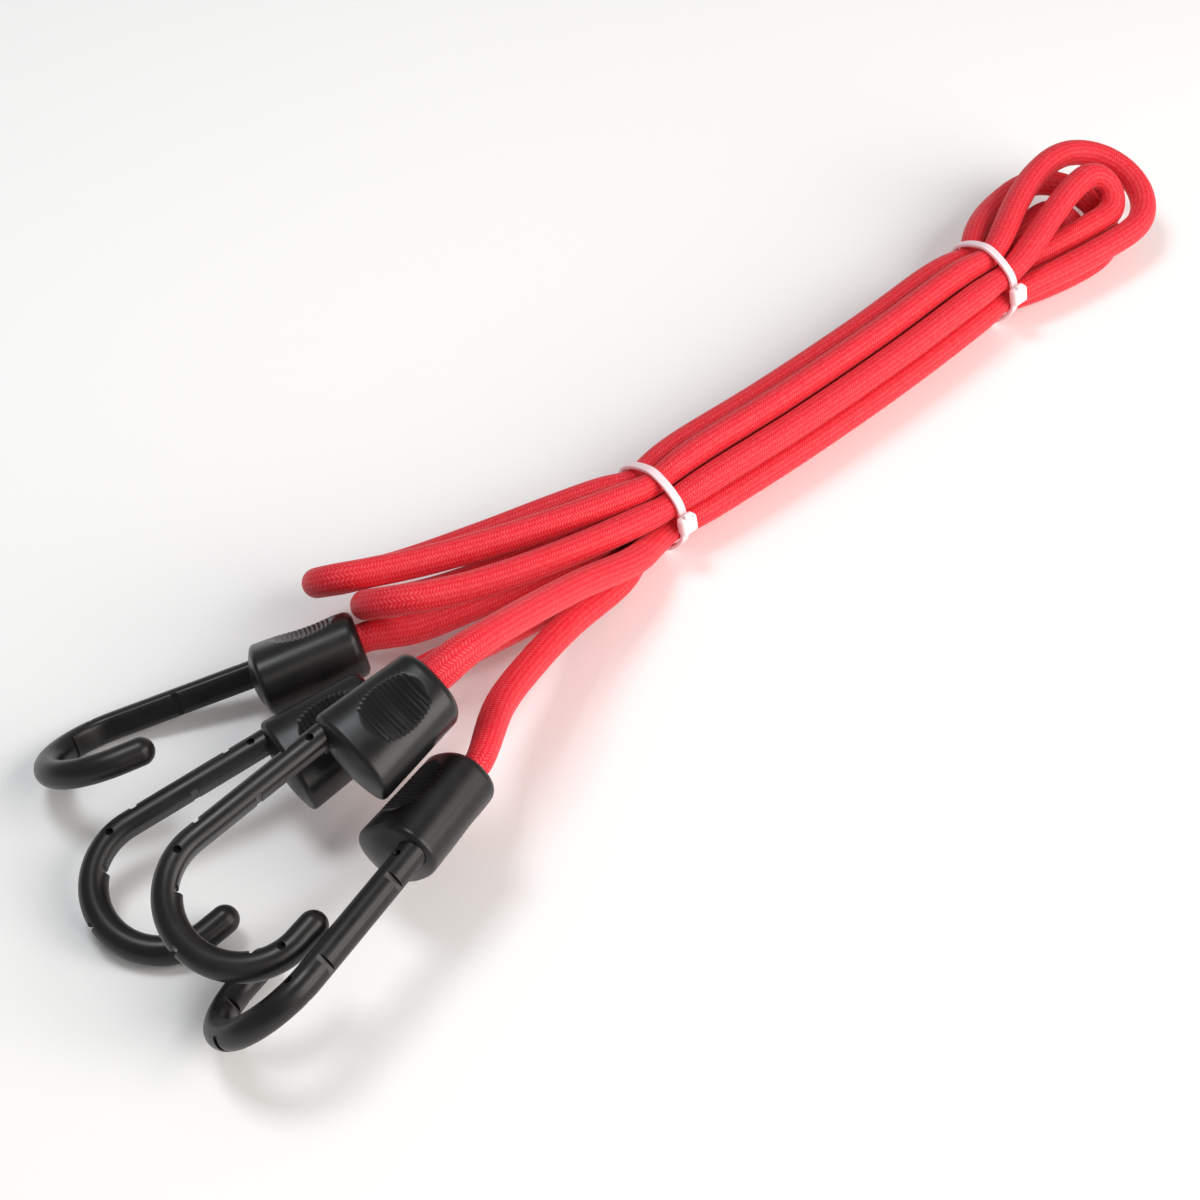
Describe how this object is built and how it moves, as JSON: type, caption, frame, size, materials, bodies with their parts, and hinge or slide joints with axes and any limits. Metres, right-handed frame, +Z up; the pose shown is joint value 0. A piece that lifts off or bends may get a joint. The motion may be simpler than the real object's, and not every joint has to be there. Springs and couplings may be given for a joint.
{
  "type": "bungee cord set",
  "caption": "Braided elastic luggage cords folded into a hank under cable ties, each cord end crimped into a ribbed plastic barrel with a plastic-coated steel wire hook.",
  "frame": {"origin": "under the middle of the whole part, on the surface that it lies on", "axes": "+X along the hank, from the hooks to the far folds; +Z up from the surface that it lies on"},
  "size_m": [0.4096, 0.1192, 0.054],
  "materials": {
    "cord_braid": "woven polyester sheath over rubber strands, slightly glossy",
    "hook_plastic": "black injection-moulded polypropylene with a satin surface",
    "wire_steel": "drawn steel wire and pressed steel sleeve, uncoated",
    "tie_nylon": "natural white nylon, slightly translucent"
  },
  "bodies": {
    "hank": {"cord_a_hank": "cord_braid", "cord_b_hank": "cord_braid", "cord_tail_1": "cord_braid", "cord_tail_2": "cord_braid", "cord_tail_3": "cord_braid", "cord_tail_4": "cord_braid", "cable_tie_1": "tie_nylon", "cable_tie_2": "tie_nylon"},
    "cord_end_1": {"ferrule_1": "wire_steel"},
    "cord_end_2": {"ferrule_2": "wire_steel"},
    "cord_end_3": {"ferrule_3": "wire_steel"},
    "cord_end_4": {"ferrule_4": "wire_steel"},
    "hook_1": {"barrel_1": "hook_plastic", "hook_coat_1": "hook_plastic", "hook_wire_1": "wire_steel"},
    "hook_2": {"barrel_2": "hook_plastic", "hook_coat_2": "hook_plastic", "hook_wire_2": "wire_steel"},
    "hook_3": {"barrel_3": "hook_plastic", "hook_coat_3": "hook_plastic", "hook_wire_3": "wire_steel"},
    "hook_4": {"barrel_4": "hook_plastic", "hook_coat_4": "hook_plastic", "hook_wire_4": "wire_steel"}
  },
  "joints": [
    {"name": "tail_1_stretch", "type": "slide", "parent": "hank", "child": "cord_end_1", "axis": [-0.91, 0.4147, 0], "range_m": [0, 0.08], "stiffness_N_per_m": 1500, "deforming": ["cord_tail_1"]},
    {"name": "tail_2_stretch", "type": "slide", "parent": "hank", "child": "cord_end_2", "axis": [-0.9816, 0.1908, 0], "range_m": [0, 0.08], "stiffness_N_per_m": 1500, "deforming": ["cord_tail_2"]},
    {"name": "tail_3_stretch", "type": "slide", "parent": "hank", "child": "cord_end_3", "axis": [-0.9998, 0.0175, 0], "range_m": [0, 0.08], "stiffness_N_per_m": 1500, "deforming": ["cord_tail_3"]},
    {"name": "tail_4_stretch", "type": "slide", "parent": "hank", "child": "cord_end_4", "axis": [-0.766, -0.6428, 0], "range_m": [0, 0.08], "stiffness_N_per_m": 1500, "deforming": ["cord_tail_4"]},
    {"name": "hook_1_swivel", "type": "hinge", "parent": "cord_end_1", "child": "hook_1", "pos_m": [-0.10408, 0.02317, 0.0182], "axis": [-0.8972, 0.4089, -0.1668], "range_deg": [-20, 90]},
    {"name": "hook_2_swivel", "type": "hinge", "parent": "cord_end_2", "child": "hook_2", "pos_m": [-0.11768, -0.00003, 0.0246], "axis": [-0.9667, 0.1879, -0.1736], "range_deg": [0, 30]},
    {"name": "hook_3_swivel", "type": "hinge", "parent": "cord_end_3", "child": "hook_3", "pos_m": [-0.11508, -0.01923, 0.0464], "axis": [-0.9875, 0.0172, -0.1564], "range_deg": [0, 80]},
    {"name": "hook_4_swivel", "type": "hinge", "parent": "cord_end_4", "child": "hook_4", "pos_m": [-0.11788, -0.03563, 0.0277], "axis": [-0.9697, -0.2418, -0.0349], "range_deg": [-12, 10]}
  ]
}
